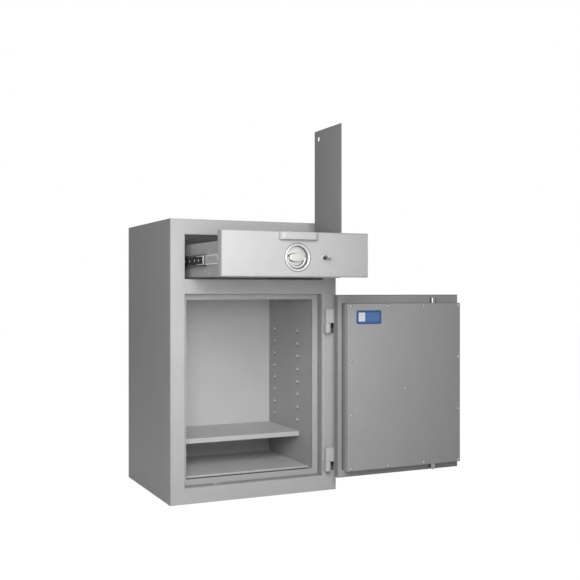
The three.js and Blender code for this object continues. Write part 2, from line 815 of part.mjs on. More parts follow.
function doorCover() {
  const outline = rectangle(-coverHalf, coverHalf, coverLow, coverTop);
  const rounded = prism('y', outline, coverFace - coverLip, coverFace, coverRound);
  const squareRim = prism('y', outline, coverFace - coverLip, coverFace - coverLip / 2);
  const hollow = block([-coverHalf + coverSheet, coverHalf - coverSheet],
    [coverFace - coverLip - overrun, coverFace - coverSheet],
    [coverLow + coverSheet, coverTop - coverSheet]);
  return node('door_cover', cutFrom(joined(rounded, squareRim), hollow), greyPaint);
}

function blankPlate() {
  const right = coverHalf - plateFromEdge;
  const top = coverTop - plateFromTop;
  const outline = roundedRectangle([right - plateWidth, right], [top - plateHeight, top],
    evenCorners(plateCorner));
  return node('blank_plate', prism('y', outline, coverFace, coverFace + plateThickness), bluePlate);
}

// A bolt along z or x with a chamfered nose at its far end.
function boltRod(radius, length) {
  const shoulder = length - boltNose;
  const profile = [[0, 0], [radius, 0], [radius, shoulder], [radius - boltNose, length], [0, length]];
  return spun(profile, 0, 0, 0, midSides);
}

function sideBolts() {
  const tip = -doorHalf + sideBoltTipGap;
  const root = tip + sideBoltLength;
  const rods = sideBoltHeights.map((height) =>
    boltRod(boltRadius, sideBoltLength).rotate([0, 0, 90]).translate(root, boltLine, height));
  const rail = block([root - fitGap, root + sideBarThickness],
    [boltLine - sideBarDepth / 2, boltLine + sideBarDepth / 2],
    [sideBoltHeights[0] - sideBarTail, sideBoltHeights[1] + sideBarTail]);
  return node('side_bolts', joined(rods, rail), brightSteel);
}

function endBolts() {
  const topTip = coverTop + topBoltReach;
  const bottomTip = coverLow - bottomBoltReach;
  const topStart = doorHandleHeight + boltStart;
  const bottomStart = doorHandleHeight - boltStart;
  const up = boltRod(boltRadius, topTip - topStart).rotate([90, 0, 0]);
  const down = boltRod(boltRadius, bottomStart - bottomTip).rotate([-90, 0, 0]);
  return [
    node('top_bolt', up.translate(endBoltOffset, boltLine, topStart), brightSteel),
    node('bottom_bolt', down.translate(endBoltOffset, boltLine, bottomStart), brightSteel),
  ];
}

function vaultDoor() {
  const camFront = boltLine + boltRadius + doorCamGap;
  const platePlane = doorInner - doorSheet;
  const handle = [endBoltOffset, front, doorHandleHeight];
  const pieces = [
    doorFace(),
    doorShell(),
    doorLayer('door_infill', front + doorSheet, platePlane, bowlRadius + fitGap, infillGrey),
    doorLayer('door_inner_plate', platePlane, doorInner, spindleRadius + fitGap, greyPaint),
    boltBox(), doorCover(), blankPlate(),
    ...hingeJoints.map((joint, k) => doorHinge(`door_hinge_${hingeSide[k]}`, joint)),
    handleBowl('door_handle_bowl', ...handle),
    handleRotor('door_handle_rotor', ...handle, camFront + camThickness),
    handleBail('door_handle_bail', ...handle),
    camDisc('door_cam', doorCamRadius, endBoltOffset, camFront, doorHandleHeight),
    lockCase('door_lock_case', endBoltOffset + lockSpacing, front, doorInner, doorHandleHeight,
      doorLockDepth),
    sideBolts(), ...endBolts(),
  ];
  const swung = new THREE.Group();
  swung.position.set(hingeX, hingeY, 0);
  swung.rotation.z = THREE.MathUtils.degToRad(doorOpenAngle);
  const shut = new THREE.Group();
  shut.position.set(-hingeX, -hingeY, 0);
  shut.add(...pieces);
  swung.add(shut);
  return swung;
}

// Slides

// A channel along y; the web stands at webX and its flanges run towards the other side.
function channel(webX, reachX, [y0, y1], [z0, z1], lip) {
  const [xa, xb] = [Math.min(webX, reachX), Math.max(webX, reachX)];
  const whole = block([xa, xb], [y0, y1], [z0, z1]);
  const inward = Math.sign(reachX - webX);
  const cut = [webX + inward * slideWeb, reachX + inward * overrun].sort((a, b) => a - b);
  return cutFrom(whole, block(cut, [y0 - overrun, y1 + overrun], [z0 + lip, z1 - lip]));
}

function slideSet(side, sign) {
  const low = bayLow + slideBottomFromOpening;
  const top = low + slideHeight;
  const middleStart = front - middleOut;
  const rail = channel(sign * wallInner, sign * (wallInner - railWidth), [railStart, railStart + railLength],
    [low, top], slideFlange);
  const middleOuter = wallInner - middleInset;
  const middle = channel(sign * middleOuter, sign * (middleOuter - slideDepth),
    [middleStart, middleStart + middleLength], [low + slideStep, top - slideStep], slideFlange);
  const inner = channel(sign * trayHalf, sign * (trayHalf + drawerMemberWidth), [drawerBehind, trayRear],
    [low + 2 * slideStep, top - 2 * slideStep], slideFlange);
  return [
    node(`${side}_cabinet_rail`, rail, zincPlate),
    node(`${side}_middle_slide`, middle, zincPlate),
    node(`${side}_drawer_slide`, inner, zincPlate),
  ];
}

// Drawer

function drawerFrontPlate() {
  const outline = rectangle(-drawerHalf, drawerHalf, drawerLow, drawerTop);
  const rounded = prism('y', outline, drawerFront, drawerBehind, drawerFrontRound);
  const squareRear = prism('y', outline, drawerFront + drawerFrontThickness / 2, drawerBehind);
  const handleHole = bar('y', bowlRadius + fitGap, drawerFront - overrun, drawerBehind + overrun,
    0, drawerHandleZ, fineSides);
  const keyHole = bar('y', keyholeRadius + lockWall + fitGap, drawerFront - overrun, drawerBehind + overrun,
    lockSpacing, drawerHandleZ, midSides);
  return node('drawer_front', cutFrom(joined(rounded, squareRear), handleHole, keyHole), greyPaint);
}

function flapBore() {
  return bar('x', flapPinRadius + fitGap, -trayHalf, trayHalf, flapPivotY, flapPivotZ, smallSides);
}

function flapLugs() {
  const places = [boxLeft + boxSheet - flapLugWidth, boxRight];
  return places.map((x) => block([x, x + flapLugWidth],
    [flapPivotY - flapLugLength / 2, flapPivotY + flapLugLength / 2],
    [trayLow - flapLugDrop, trayFloorTop]));
}

function drawerTray() {
  const whole = block([-trayHalf, trayHalf], [drawerBehind, trayRear], [trayLow, trayTop]);
  const hollow = block([-trayInner, trayInner], [drawerBehind - overrun, trayRear - traySheet],
    [trayFloorTop, trayTop + overrun]);
  const flapHole = block([boxLeft + boxSheet, boxRight],
    [flapPivotY - flapBarrelRadius - fitGap, lidRear - boxSheet],
    [trayLow - overrun, trayFloorTop + overrun]);
  const pinHole = flapBore();
  const radius = drawerBoltRadius + fitGap;
  const boltHoles = [
    bar('x', radius, trayInner - overrun, trayHalf + overrun, drawerBoltY, drawerBoltTopZ, smallSides),
    bar('x', radius, -trayHalf - overrun, overrun - trayInner, drawerBoltY, drawerBoltLowZ, smallSides),
  ];
  const open = joined(cutFrom(whole, hollow), flapLugs());
  return node('drawer_tray', cutFrom(open, flapHole, pinHole, boltHoles), innerPaint);
}

// Where each of the hinge's knuckles starts and ends; they take turns between box and lid.
function lidKnuckles(first) {
  const pitch = (lidRear - boxFront) / lidKnuckleCount;
  const list = [];
  for (let place = first; place < lidKnuckleCount; place += 2) {
    list.push([boxFront + place * pitch + fitGap, boxFront + (place + 1) * pitch - fitGap]);
  }
  return list;
}

function lidBarrels(first) {
  return lidKnuckles(first).map(([from, to]) =>
    bar('y', lidKnuckleRadius, from, to, lidHingeOffset, lidPivotZ, smallSides));
}

function lidBore() {
  return bar('y', lidPinRadius + fitGap, lidFront - overrun, lidRear + overrun,
    lidHingeOffset, lidPivotZ, smallSides);
}

function depositBox() {
  const railTop = lidPivotZ - lidKnuckleRadius - fitGap;
  const whole = block([boxLeft, boxRight + boxSheet], [boxFront, lidRear], [trayFloorTop, boxTop]);
  const hollow = block([boxLeft + boxSheet, boxRight], [boxFront + boxSheet, lidRear - boxSheet],
    [trayFloorTop - overrun, boxTop + overrun]);
  const lowered = block([boxRight - overrun, boxRight + boxSheet + overrun],
    [boxFront - overrun, lidRear + overrun], [railTop, boxTop + overrun]);
  const walls = cutFrom(whole, hollow, lowered);
  const posts = lidKnuckles(0).map(([from, to]) =>
    block([boxRight, boxRight + boxSheet], [from, to], [railTop - overrun, lidPivotZ]));
  return node('deposit_box', cutFrom(joined(walls, posts, lidBarrels(0)), lidBore()), innerPaint);
}

// The lid stands up; its outline lies in the plane across x.
function lid() {
  const top = lidPivotZ + lidLength;
  const corners = { topLeft: lidCorner, topRight: lidCorner };
  const outline = roundedRectangle([lidFront, lidRear], [lidPivotZ, top], corners);
  const hole = new THREE.Path();
  hole.absarc(lidRear - lidHoleInset, top - lidHoleInset, lidHoleRadius, 0, 2 * Math.PI, true);
  outline.holes.push(hole);
  const sheet = prism('x', outline, lidHingeOffset - lidThickness / 2, lidHingeOffset + lidThickness / 2);
  const reach = lidKnuckleRadius + fitGap;
  const room = fitGap + reliefGap;
  const reliefs = lidKnuckles(0).map(([from, to]) =>
    block([lidHingeOffset - reach, lidHingeOffset + reach], [from - room, to + room],
      [lidPivotZ - overrun, lidPivotZ + reach]));
  return node('lid', cutFrom(joined(sheet, lidBarrels(1)), reliefs, lidBore()), greyPaint);
}

function lidPin() {
  const pin = bar('y', lidPinRadius, boxFront, lidRear, lidHingeOffset, lidPivotZ, smallSides);
  return node('lid_hinge_pin', pin, brightSteel);
}

function dropFlap() {
  const sheet = block([boxLeft + boxSheet + flapGap, boxRight - flapGap],
    [flapPivotY - flapGap, lidRear - boxSheet - flapGap], [trayLow, trayFloorTop]);
  const barrel = bar('x', flapBarrelRadius, boxLeft + boxSheet + flapGap, boxRight - flapGap,
    flapPivotY, flapPivotZ, smallSides);
  return node('drop_flap', cutFrom(joined(sheet, barrel), flapBore()), innerPaint);
}

function flapPin() {
  const pin = bar('x', flapPinRadius, boxLeft + boxSheet - flapPinTail, boxRight + flapPinTail,
    flapPivotY, flapPivotZ, smallSides);
  return node('flap_hinge_pin', pin, brightSteel);
}

// A cup pull that is open below and at the back.
function pull() {
  const face = drawerFront - pullDepth;
  const corners = { lowLeft: pullCorner, lowRight: pullCorner };
  const top = drawerTop - pullFromTop;
  const outer = roundedRectangle([-pullWidth / 2, pullWidth / 2], [face, drawerFront + overrun], corners);
  const innerCorners = { lowLeft: pullCorner - pullWall, lowRight: pullCorner - pullWall };
  const inner = roundedRectangle([pullWall - pullWidth / 2, pullWidth / 2 - pullWall],
    [face + pullWall, drawerFront + overrun], innerCorners);
  const shell = prism('z', outer, top - pullHeight, top, pullEdge, 3);
  const hollow = prism('z', inner, top - pullHeight - overrun, top - pullWall);
  const behind = block([-pullWidth, pullWidth], [drawerFront, drawerFront + overrun],
    [drawerLow, drawerTop + overrun]);
  return node('pull_handle', cutFrom(shell, hollow, behind), satinMetal);
}

// Two rods that the drawer's cam pushes outwards; one runs over the cam's middle, one under it.
function drawerBolts() {
  const rod = ([from, to], z) =>
    bar('x', drawerBoltRadius, from, to, drawerBoltY, z, smallSides);
  return [
    node('drawer_bolt_right', rod(across(1, drawerBoltInner, trayHalf), drawerBoltTopZ), brightSteel),
    node('drawer_bolt_left', rod(across(-1, drawerBoltInner, trayHalf), drawerBoltLowZ), brightSteel),
  ];
}

function drawer() {
  const camFront = drawerBehind + drawerCamGap;
  const handle = [0, drawerFront, drawerHandleZ];
  return [
    drawerFrontPlate(), drawerTray(), depositBox(), lid(), lidPin(), dropFlap(), flapPin(), pull(),
    handleBowl('handle_bowl', ...handle),
    handleRotor('handle_rotor', ...handle, camFront + camThickness),
    handleBail('handle_bail', ...handle),
    camDisc('handle_cam', drawerCamRadius, 0, camFront, drawerHandleZ),
    lockCase('drawer_lock_case', lockSpacing, drawerFront, drawerBehind, drawerHandleZ,
      drawerLockDepth),
    key(lockSpacing, drawerHandleZ),
    ...drawerBolts(),
  ];
}

const safe = new THREE.Group();
safe.add(...outerPanels(), frontFrame(), doorStop(), wallInfill(), ...liners());
safe.add(deck(), raisedFloor(), shelf());
safe.add(...hingeJoints.map((joint, k) => cabinetHinge(`cabinet_hinge_${hingeSide[k]}`, joint)));
safe.add(vaultDoor());
safe.add(...drawer(), ...sameOnBothSides(slideSet).flat());

export default safe;
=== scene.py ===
"""Looks of a drop safe with a deposit drawer, in metres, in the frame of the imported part."""
import json
import math

import bmesh
import bpy
from mathutils import Matrix, Vector

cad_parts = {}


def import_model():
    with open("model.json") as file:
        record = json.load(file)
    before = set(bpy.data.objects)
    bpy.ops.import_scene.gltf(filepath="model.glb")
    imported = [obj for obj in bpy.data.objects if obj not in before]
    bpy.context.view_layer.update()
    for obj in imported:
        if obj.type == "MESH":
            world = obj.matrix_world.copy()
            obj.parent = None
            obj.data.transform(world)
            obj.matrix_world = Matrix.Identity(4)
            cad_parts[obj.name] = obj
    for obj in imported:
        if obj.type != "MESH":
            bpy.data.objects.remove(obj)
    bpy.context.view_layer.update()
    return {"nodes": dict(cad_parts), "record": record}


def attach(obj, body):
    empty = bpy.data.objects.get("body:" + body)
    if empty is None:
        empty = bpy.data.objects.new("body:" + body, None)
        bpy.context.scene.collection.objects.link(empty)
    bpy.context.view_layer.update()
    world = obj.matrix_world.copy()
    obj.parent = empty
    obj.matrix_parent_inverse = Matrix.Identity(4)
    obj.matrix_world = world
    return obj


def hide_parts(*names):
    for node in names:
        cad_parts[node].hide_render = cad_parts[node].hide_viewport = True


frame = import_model()
NODES = frame["nodes"]

# Camera, solved from the cabinet's edges in the photograph: metres, degrees, millimetres
CAMERA_AT = (-1.2889, -3.3333, 0.7508)
CAMERA_YAW = 24.9503
CAMERA_LENS = 56.846
SENSOR_WIDTH = 36.0
VIEW_DEPTH = 60.0

# Places on the part at rest, in metres
DRAWER_HANDLE = (0.0, -0.623, 0.8575)
DOOR_HANDLE = (0.7015, -0.321, 0.396)
KEY = (0.097, -0.623, 0.8575)
COVER_FACE = -0.395
PLATE = (0.39925, COVER_FACE, 0.6505)
BOLT_BOX_FOOT = (0.558, -0.3493, 0.3945)
CABINET_FRONT = -0.275
HINGE_JOINTS = (0.1126, 0.6275)
HINGE_SHADE_X = 0.3072
SLIDE_HEIGHT = 0.8505
SLIDE_FACE_X = 0.262
SLIDE_WEB_X = 0.259
SLIDE_END_SHADE = (0.2606, -0.442)
TRAY_SIDE_X = 0.25
TRAY_RIVETS = ((-0.459, 0.804), (-0.459, 0.877), (-0.430, 0.8137))
LINER_X = 0.265
DOME_COLUMNS = (-0.063, 0.157)
DOME_ROWS = 9
FIRST_DOME = 0.1885
DOME_PITCH = 0.05

# The vault opening's rebate, in metres: its planes and the bolt sockets in them
REBATE_X = 0.2696
REBATE_Y = -0.2465
REBATE_LOW = 0.0564
REBATE_HIGH = 0.7356
SIDE_SHADE_ENDS = (0.0568, 0.7352)
SIDE_SOCKETS = ((0.232, 0.260), (0.534, 0.562))
END_SHADES = ((-0.268, -0.158), (-0.129, 0.268))
FLOOR_EDGE = (0.0, -0.161, 0.06385)

# The room
FLOOR_HALF = 14.0
FLOOR_HEIGHT = -0.0004
FLOOR_GLOW = 0.9
FLOOR_LIGHT = 1.1
FILL_LIGHT = 0.12
SOFTBOXES = (  # name, place, aim, side length, power
    ("key", (-0.52, -1.7, 1.06), (-0.1, -0.2, 0.5), 0.85, 23),
    ("top", (0.0, -0.3, 3.2), (0.0, 0.0, 0.0), 1.6, 1.5),
    ("rear", (1.3, 2.6, 1.5), (0.1, 0.2, 0.5), 1.4, 28),
)

# Edges, in degrees and metres
SMOOTH_BELOW = 31
BEVEL_ABOVE = 40
CREASE_ABOVE = 32
WELD = 0.000004


# Shaders

class Socket:
    """A node output that takes part in sums and products."""

    def __init__(self, tree, output):
        self.tree = tree
        self.output = output

    def __add__(self, other):
        return self.tree.maths("ADD", self, other)

    def __mul__(self, other):
        return self.tree.maths("MULTIPLY", self, other)

    __radd__ = __add__
    __rmul__ = __mul__


class Tree:
    """The nodes of a material, a world or a modifier, all made by one method."""

    def __init__(self, owner, tree, end):
        self.owner = owner
        self.nodes = tree.nodes
        self.links = tree.links
        self.nodes.clear()
        self.end = self.nodes.new(end)

    def node(self, kind, inputs, out=0, **settings):
        """Makes a node; inputs maps a socket's name or number to a value or a link."""
        made = self.nodes.new(kind)
        for key, value in settings.items():
            setattr(made, key, value)
        for key, value in inputs.items():
            if isinstance(value, Socket):
                self.links.new(value.output, made.inputs[key])
            else:
                made.inputs[key].default_value = value
        return Socket(self, made.outputs[out])

    def maths(self, operation, *values):
        return self.node("ShaderNodeMath", dict(enumerate(values)), operation=operation)

    def place(self):
        return self.node("ShaderNodeTexCoord", {}, "Object")

    def noise(self, scale, detail=2.0, roughness=0.5, stretch=(1, 1, 1)):
        at = self.node("ShaderNodeMapping", {"Vector": self.place(), "Scale": stretch})
        return self.node("ShaderNodeTexNoise", {"Vector": at, "Scale": scale, "Detail": detail,
                                                "Roughness": roughness})

    def ramp(self, value, low, high):
        return self.node("ShaderNodeMapRange", {"Value": value, "From Min": 0.3,
                                                "From Max": 0.7, "To Min": low, "To Max": high})

    def tone(self, value, colour, spread):
        """The colour, darker and lighter by the spread as the value runs from 0 to 1."""
        dark, light = ((*(channel * factor for channel in colour), 1)
                       for factor in (1 - spread, 1 + spread))
        return self.node("ShaderNodeMix", {0: value, 6: dark, 7: light}, 2, data_type="RGBA")

    def bump(self, height, strength, distance, **before):
        return self.node("ShaderNodeBump", {"Height": height, "Strength": strength,
                                            "Distance": distance, **before})

    def seen(self):
        """1 for what the camera sees straight, in a gloss or through glass."""
        kinds = (self.node("ShaderNodeLightPath", {}, f"Is {kind} Ray")
                 for kind in ("Camera", "Glossy", "Transmission"))
        return self.maths("MAXIMUM", self.maths("MAXIMUM", next(kinds), next(kinds)),
                          next(kinds))

    def finish(self, last, socket="Surface"):
        """Links the last node to the tree's end and gives back what the tree belongs to."""
        self.links.new(last.output, self.end.inputs[socket])
        return self.owner


def paint(name):
    made = bpy.data.materials.new(name)
    made.use_nodes = True
    return Tree(made, made.node_tree, "ShaderNodeOutputMaterial")


def powder_coat(name, colour, roughness=0.42, peel=0.5):
    """Powder coat: an orange peel with a finer grain, and a little mottling."""
    tree = paint(name)
    blend = tree.noise(9.0, 3.0) * 0.6 + tree.noise(140.0) * 0.4
    waves = tree.bump(tree.noise(420.0, 2.0, 0.45), peel * 0.16, 0.0004)
    return tree.finish(tree.node("ShaderNodeBsdfPrincipled", {
        "Base Color": tree.tone(tree.ramp(blend, 0.0, 1.0), colour, 0.03),
        "Roughness": tree.ramp(tree.noise(320.0), roughness - 0.04, roughness + 0.05),
        "Specular IOR Level": 0.2,
        "Normal": tree.bump(tree.noise(1900.0, 1.0), peel * 0.10, 0.0001, Normal=waves),
    }))


def metal(name, colour, roughness, stretch=(1, 1, 1), metallic=1.0):
    """Bare or plated metal, with grain that is drawn out along one axis."""
    tree = paint(name)
    grain = tree.noise(1000.0, 4.0, 0.6, stretch)
    return tree.finish(tree.node("ShaderNodeBsdfPrincipled", {
        "Base Color": tree.tone(tree.ramp(tree.noise(30.0, 3.0), 0.0, 1.0), colour, 0.06),
        "Roughness": tree.ramp(grain, roughness - 0.06, roughness + 0.06),
        "Metallic": metallic,
        "Normal": tree.bump(grain, 0.1, 0.0001),
    }))


def poured(name, colour):
    """Poured filling: coarse grains in a paler binder."""
    tree = paint(name)
    stones = tree.node("ShaderNodeTexVoronoi", {"Vector": tree.place(), "Scale": 140.0})
    cloud = tree.noise(60.0, 6.0, 0.7)
    blend = tree.ramp(stones * 0.5 + cloud * 0.6, 0.0, 1.0)
    return tree.finish(tree.node("ShaderNodeBsdfPrincipled", {
        "Base Color": tree.tone(blend, colour, 0.3),
        "Roughness": 0.95,
        "Normal": tree.bump(stones + cloud, 0.5, 0.002),
    }))


def printed(name, colour, roughness=0.35):
    """Printed plastic film with a faint grain."""
    tree = paint(name)
    grain = tree.noise(700.0)
    return tree.finish(tree.node("ShaderNodeBsdfPrincipled", {
        "Base Color": tree.tone(tree.ramp(grain, 0.0, 1.0), colour, 0.07),
        "Roughness": roughness,
        "Normal": tree.bump(grain, 0.05, 0.0001),
    }))


def grey(level):
    """A cool grey, a shade bluer than neutral."""
    return level, level + 0.002, level + 0.005


BODY = powder_coat("body_paint", grey(0.50))
INNER = powder_coat("inner_paint", grey(0.66), 0.5, 0.6)
# A darker copy of the inner paint on the side liners, tray and flap: painted shade
LINER_SHADE = powder_coat("liner_shaded_paint", grey(0.46), 0.5, 0.6)
# A darker copy of the body paint on the side panels: painted shade
SIDE_SHADE = powder_coat("side_shaded_paint", grey(0.41), 0.5)
# A lighter copy of the inner paint on the back wall: painted light
BACK_WALL_LIGHT = powder_coat("back_wall_lit_paint", grey(0.72), 0.5, 0.6)
HINGE = powder_coat("hinge_paint", grey(0.55), 0.32)
# A dark copy of the paint on the door's shell and bolt box: painted shade
BOX_SHADE = powder_coat("box_shaded_paint", grey(0.27), 0.5)
# A lighter copy of the inner paint on the bay's ceiling: painted light
CEILING_LIGHT = powder_coat("ceiling_lit_paint", grey(0.82), 0.45, 0.4)
# A lighter paint on the pressed domes: painted highlight
DOME_HIGHLIGHT = powder_coat("dome_highlight_paint", grey(0.60), 0.5, 0.4)
# A darker copy of the body paint on the door's panels: painted shade
DOOR_SHADE = powder_coat("door_shaded_paint", grey(0.39), 0.45)
# A darker copy of the body paint on the drawer's front: painted shade
DRAWER_SHADE = powder_coat("drawer_shaded_paint", grey(0.43))
# A dark grey for painted shade: under the pressed domes and beside the hinges
SOFT_SHADE = powder_coat("painted_soft_shade", grey(0.13), 0.6)
LID = powder_coat("lid_paint", grey(0.24), 0.5)
PULL = powder_coat("pull_paint", grey(0.44), 0.42, 0.3)
ZINC = metal("zinc_plate", grey(0.62), 0.45, (1, 0.05, 1), 0.75)
# A near-black copy of the zinc plate on the middle slide members and cabinet rails: painted
# shade
SHADED_ZINC = metal("shaded_zinc", grey(0.05), 0.6, (1, 0.05, 1), 0.2)
# A darker copy of the zinc on the drawer slide's web: painted shade between its flanges
WEB_SHADE = metal("slide_web_shade", grey(0.36), 0.5, (1, 0.05, 1), 0.4)
CAGE = powder_coat("cage_black", grey(0.012), 0.7, 0.3)
BOLT = metal("bolt_steel", grey(0.26), 0.2)
BALLS = metal("ball_steel", grey(0.72), 0.35, metallic=0.7)
BRIGHT = metal("bright_steel", grey(0.72), 0.28)
SATIN = metal("satin_metal", (0.55, 0.547, 0.54), 0.42, metallic=0.5)
RIM = metal("bright_rim", (0.58, 0.577, 0.57), 0.42, metallic=0.5)
BOW = metal("key_nickel", grey(0.34), 0.4, metallic=0.8)
STEM = metal("key_stem", grey(0.05), 0.5, metallic=0.5)
# A dark grey for painted shadow lines: round the foot of the bolt box and at the floor plate's
# edge
SHADOW_LINE = printed("painted_shadow_line", (0.10, 0.10, 0.102), 0.6)
# A grey for painted shade on the returns round the vault's rebate
RETURN_SHADE = printed("shade_strip", (0.33, 0.33, 0.333), 0.6)
# Near black for painted shade in hollows and gaps: handle bowls and discs, slides, screws,
# hinges
DEEP_SHADE = printed("painted_deep_shade", (0.02, 0.02, 0.021), 0.6)
FILLING = poured("infill", (0.27, 0.26, 0.24))
BLUE = printed("blue_plate", (0.035, 0.085, 0.26))
MID_BLUE = printed("mid_blue_print", (0.075, 0.17, 0.40))
PALE = printed("pale_print", (0.72, 0.76, 0.80))

PAINT_OF_SLOT = {
    "body_paint": BODY, "inner_paint": INNER, "infill": FILLING, "zinc_plate": ZINC,
    "bright_steel": BRIGHT, "satin_metal": SATIN, "blue_plate": BLUE,
}


def by_node(*groups):
    """Turns (value, node names) pairs into a value for each node."""
    return {name: value for value, names in groups for name in names.split()}


# The copies marked shade or light are darker or lighter versions of one paint: painted shade
# and light
PAINT_OF_NODE = by_node(
    (LID, "lid"),
    (DRAWER_SHADE, "drawer_front"),
    (PULL, "pull_handle"),
    (CEILING_LIGHT, "bay_ceiling"),
    (BACK_WALL_LIGHT, "back_liner"),
    (LINER_SHADE, "left_liner right_liner drawer_tray drop_flap"),
    (SIDE_SHADE, "left_side_panel right_side_panel"),
    (DOOR_SHADE, "door_face door_inner_plate door_cover"),
    (BOX_SHADE, "door_shell bolt_box"),
    (HINGE, "cabinet_hinge_lower cabinet_hinge_upper door_hinge_lower door_hinge_upper"),
    (BOLT, "side_bolts top_bolt bottom_bolt"),
    (BALLS, "left_drawer_slide right_drawer_slide"),
    (SHADED_ZINC, "left_middle_slide right_middle_slide left_cabinet_rail right_cabinet_rail"),
)


# Carried-over nodes

def smoothing():
    """A modifier tree that joins split corners and shades shallow edges smooth."""
    group = bpy.data.node_groups.new("smooth_shallow_edges", "GeometryNodeTree")
    for way in ("INPUT", "OUTPUT"):
        group.interface.new_socket("Geometry", in_out=way, socket_type="NodeSocketGeometry")
    tree = Tree(group, group, "NodeGroupOutput")
    whole = tree.node("NodeGroupInput", {})
    welded = tree.node("GeometryNodeMergeByDistance", {"Geometry": whole, "Distance": WELD})
    smooth = tree.node("GeometryNodeSetShadeSmooth", {"Geometry": welded})
    angle = tree.node("GeometryNodeInputMeshEdgeAngle", {}, "Unsigned Angle")
    steep = tree.node("FunctionNodeCompare", {0: angle, 1: math.radians(SMOOTH_BELOW)},
                      operation="GREATER_THAN")
    edged = tree.node("GeometryNodeSetShadeSmooth", {
        "Geometry": smooth, "Selection": steep, "Shade Smooth": False}, domain="EDGE")
    return tree.finish(edged, 0)


SMOOTH = smoothing()
SOFT_EDGES = by_node(
    (0.0005, "left_drawer_slide right_drawer_slide left_middle_slide right_middle_slide "
             "left_cabinet_rail right_cabinet_rail"),
    (0.0006, "door_stop_flange deck handle_cam door_cam"),
    (0.0007, "deposit_box lid"),
    (0.0008, "front_frame shelf floor_plate drawer_tray"),
    (0.001, "door_shell drawer_lock_case door_lock_case"),
    (0.0012, "cabinet_hinge_lower cabinet_hinge_upper door_hinge_lower door_hinge_upper"),
)


def dress_nodes():
    """Gives each node its paint, smooth shading and, where its rim shows, a soft edge."""
    slots = {part["node"]: part["material_slot"] for part in frame["record"]["subparts"]}
    for name, thing in NODES.items():
        thing.data.materials.clear()
        thing.data.materials.append(PAINT_OF_NODE.get(name, PAINT_OF_SLOT[slots[name]]))
        shade = thing.modifiers.new("shade", "NODES")
        shade.node_group = SMOOTH
        if name in SOFT_EDGES:
            bevel = thing.modifiers.new("edges", "BEVEL")
            bevel.width = SOFT_EDGES[name]
            bevel.segments = 2
            bevel.limit_method = "ANGLE"
            bevel.angle_limit = math.radians(BEVEL_ABOVE)
            bevel.harden_normals = True


# The room: floor, world, lights and camera

def floor():
    """A pale floor that looks white to the camera and keeps some of the object's shadow."""
    mesh = bpy.data.meshes.new("floor")
    maker = bmesh.new()
    bmesh.ops.create_grid(maker, x_segments=8, y_segments=8, size=FLOOR_HALF)
    maker.to_mesh(mesh)
    maker.free()
    made = bpy.data.objects.new("floor", mesh)
    bpy.context.scene.collection.objects.link(made)
    made.location.z = FLOOR_HEIGHT
    tree = paint("floor_white")
    base = tree.tone(tree.ramp(tree.noise(40.0, 3.0), 0.0, 1.0), (0.82, 0.82, 0.82), 0.02)
    matt = tree.node("ShaderNodeBsdfDiffuse", {"Color": base})
    glow = tree.node("ShaderNodeEmission", {"Color": (1, 1, 1, 1), "Strength": FLOOR_LIGHT})
    mix = {0: tree.seen() * FLOOR_GLOW, 1: matt, 2: glow}
    mesh.materials.append(tree.finish(tree.node("ShaderNodeMixShader", mix)))


def world():
    """A white backdrop for the camera and its reflections, and a weak fill light."""
    made = bpy.data.worlds.new("studio")
    bpy.context.scene.world = made
    made.use_nodes = True
    tree = Tree(made, made.node_tree, "ShaderNodeOutputWorld")
    backdrop, fill = (tree.node("ShaderNodeBackground", {"Color": (1, 1, 1, 1),
                                                         "Strength": strength})
                      for strength in (1.0, FILL_LIGHT))
    tree.finish(tree.node("ShaderNodeMixShader", {0: tree.seen(), 1: fill, 2: backdrop}))


def softbox(name, at, towards, size, power):
    data = bpy.data.lights.new(name, "AREA")
    data.shape = "RECTANGLE"
    data.size = data.size_y = size
    data.energy = power
    made = bpy.data.objects.new(name, data)
    bpy.context.scene.collection.objects.link(made)
    made.location = at
    made.rotation_euler = (Vector(towards) - Vector(at)).to_track_quat("-Z", "Y").to_euler()
    made.visible_camera = False


def camera():
    data = bpy.data.cameras.new("camera")
    data.sensor_width = SENSOR_WIDTH
    data.lens = CAMERA_LENS
    data.clip_end = VIEW_DEPTH
    made = bpy.data.objects.new("camera", data)
    bpy.context.scene.collection.objects.link(made)
    made.location = CAMERA_AT
    made.rotation_euler = (math.radians(90), 0.0, math.radians(-CAMERA_YAW))
    bpy.context.scene.camera = made


# Shapes, in millimetres in a local frame whose Z comes out of the surface

MILLIMETRES = Matrix.Scale(0.001, 4)
FRONT = Matrix.Rotation(math.radians(90), 4, "X") @ MILLIMETRES
BACK = Matrix.Rotation(math.radians(180), 4, "Z") @ FRONT
LEFT = Matrix.Rotation(math.radians(-90), 4, "Y") @ MILLIMETRES
RIGHT = Matrix.Rotation(math.radians(90), 4, "Y") @ MILLIMETRES
UP = MILLIMETRES
DOWN = MILLIMETRES @ Matrix.Rotation(math.pi, 4, "X")
ALONG_X = Matrix.Rotation(math.radians(90), 4, "Y")
UPRIGHT = Matrix.Rotation(math.radians(90), 4, "X")


def on(place, facing):
    """The matrix that stands a local shape at a place in metres."""
    return Matrix.Translation(place) @ facing


def moved(x, y, z=0.0):
    return Matrix.Translation((x, y, z))


def turned(angle):
    return Matrix.Rotation(math.radians(angle), 4, "Z")


